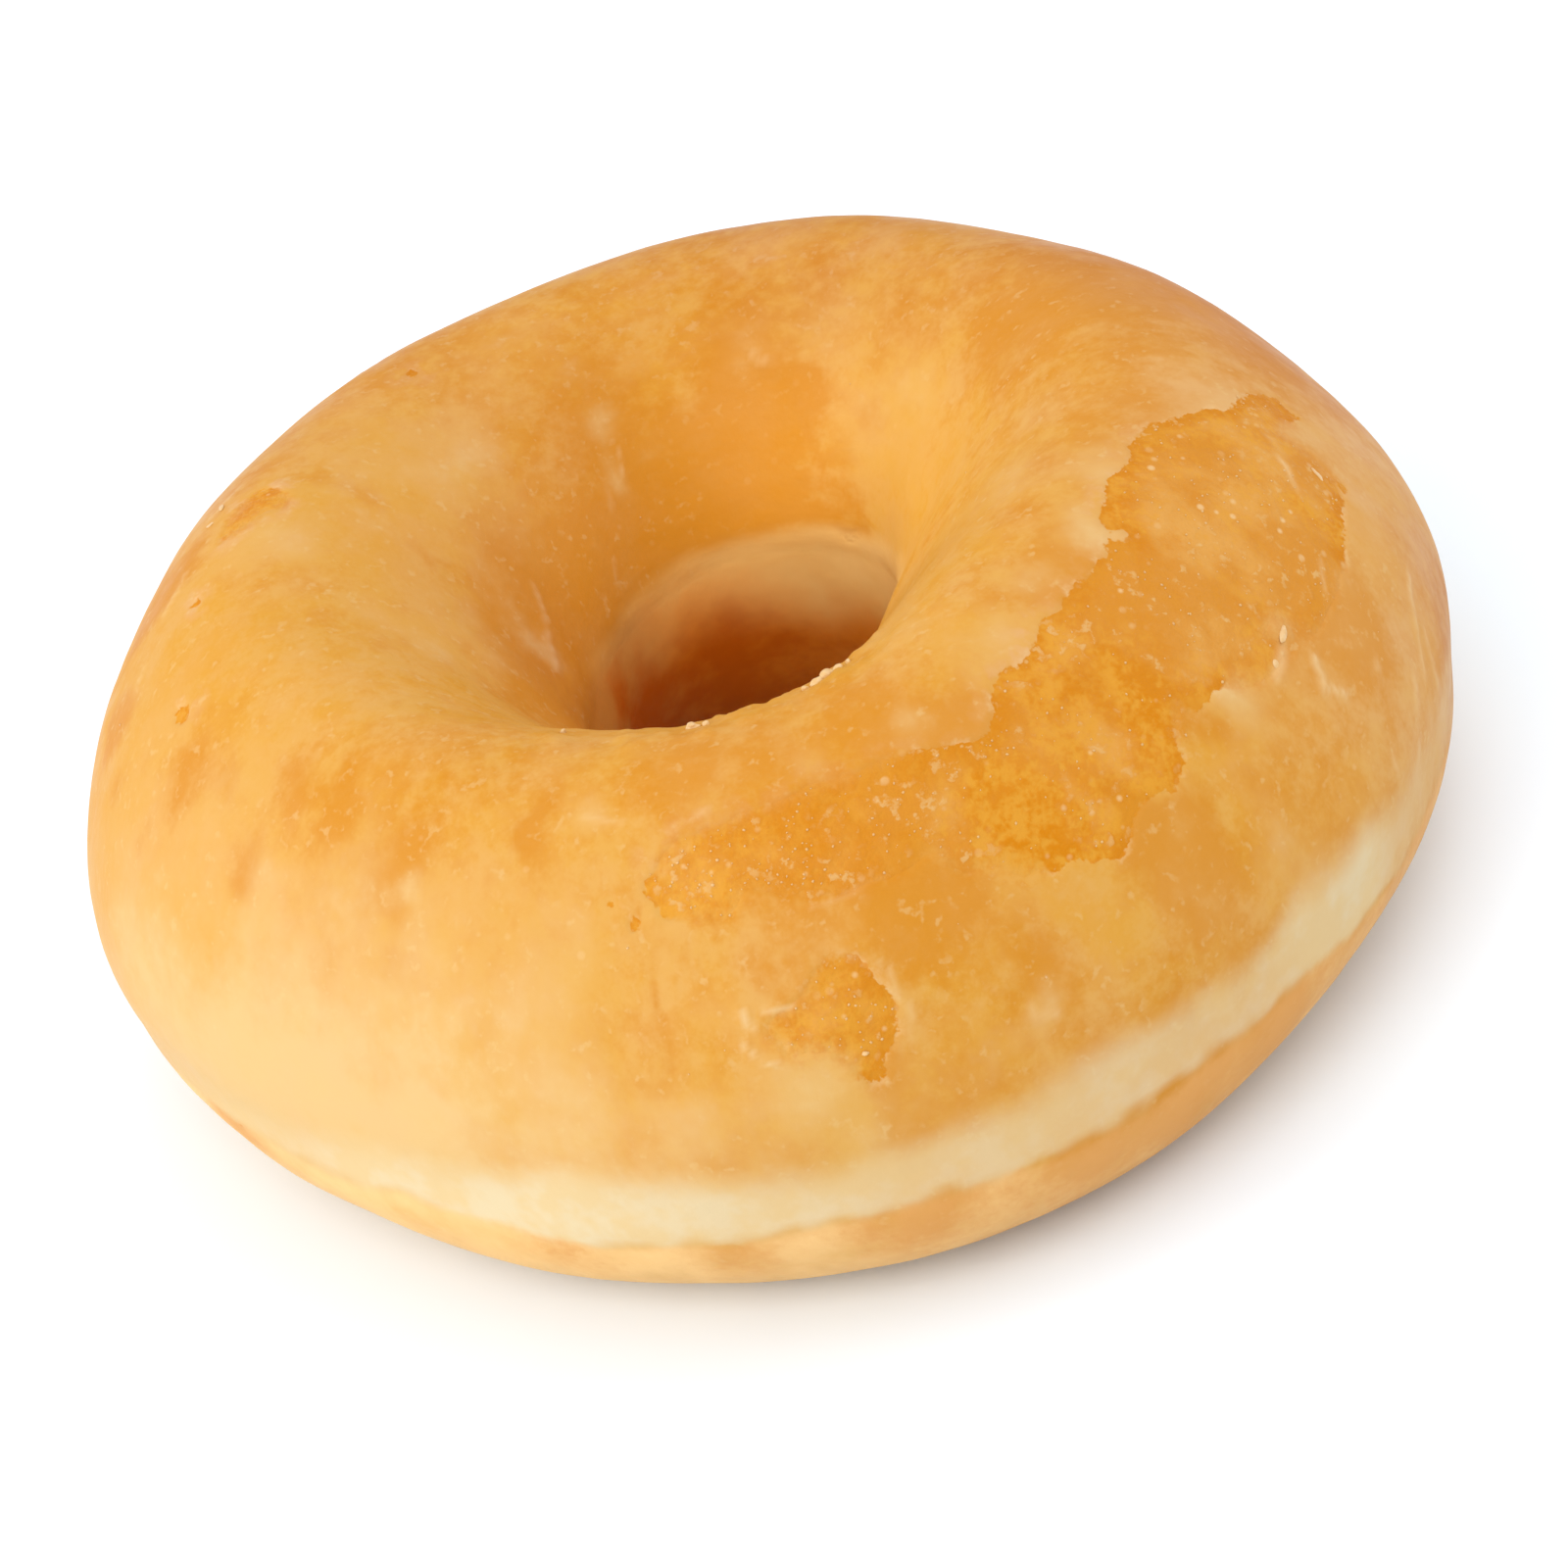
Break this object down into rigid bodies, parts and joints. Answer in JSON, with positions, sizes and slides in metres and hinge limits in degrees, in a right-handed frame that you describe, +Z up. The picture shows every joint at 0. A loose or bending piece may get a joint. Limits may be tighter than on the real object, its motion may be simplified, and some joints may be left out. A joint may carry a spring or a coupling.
{
  "type": "ring doughnut",
  "caption": "Plain ring doughnut of raised fried dough with a thin sugar skin, resting flat on its foot, with a round hole through the middle.",
  "frame": {"origin": "middle of the foot's plane, under the middle of the ring's outline seen from above", "axes": "+Z up through the hole, +X to the right and +Y away from the side that the picture shows in front"},
  "size_m": [0.09, 0.0896, 0.0375],
  "materials": {
    "crust": "golden fried crust with a pale line round its waist, satin",
    "glaze": "thin, dried, slightly milky sugar glaze over the crust, satin to glossy"
  },
  "bodies": {
    "root": {"doughnut": "crust"}
  },
  "joints": []
}
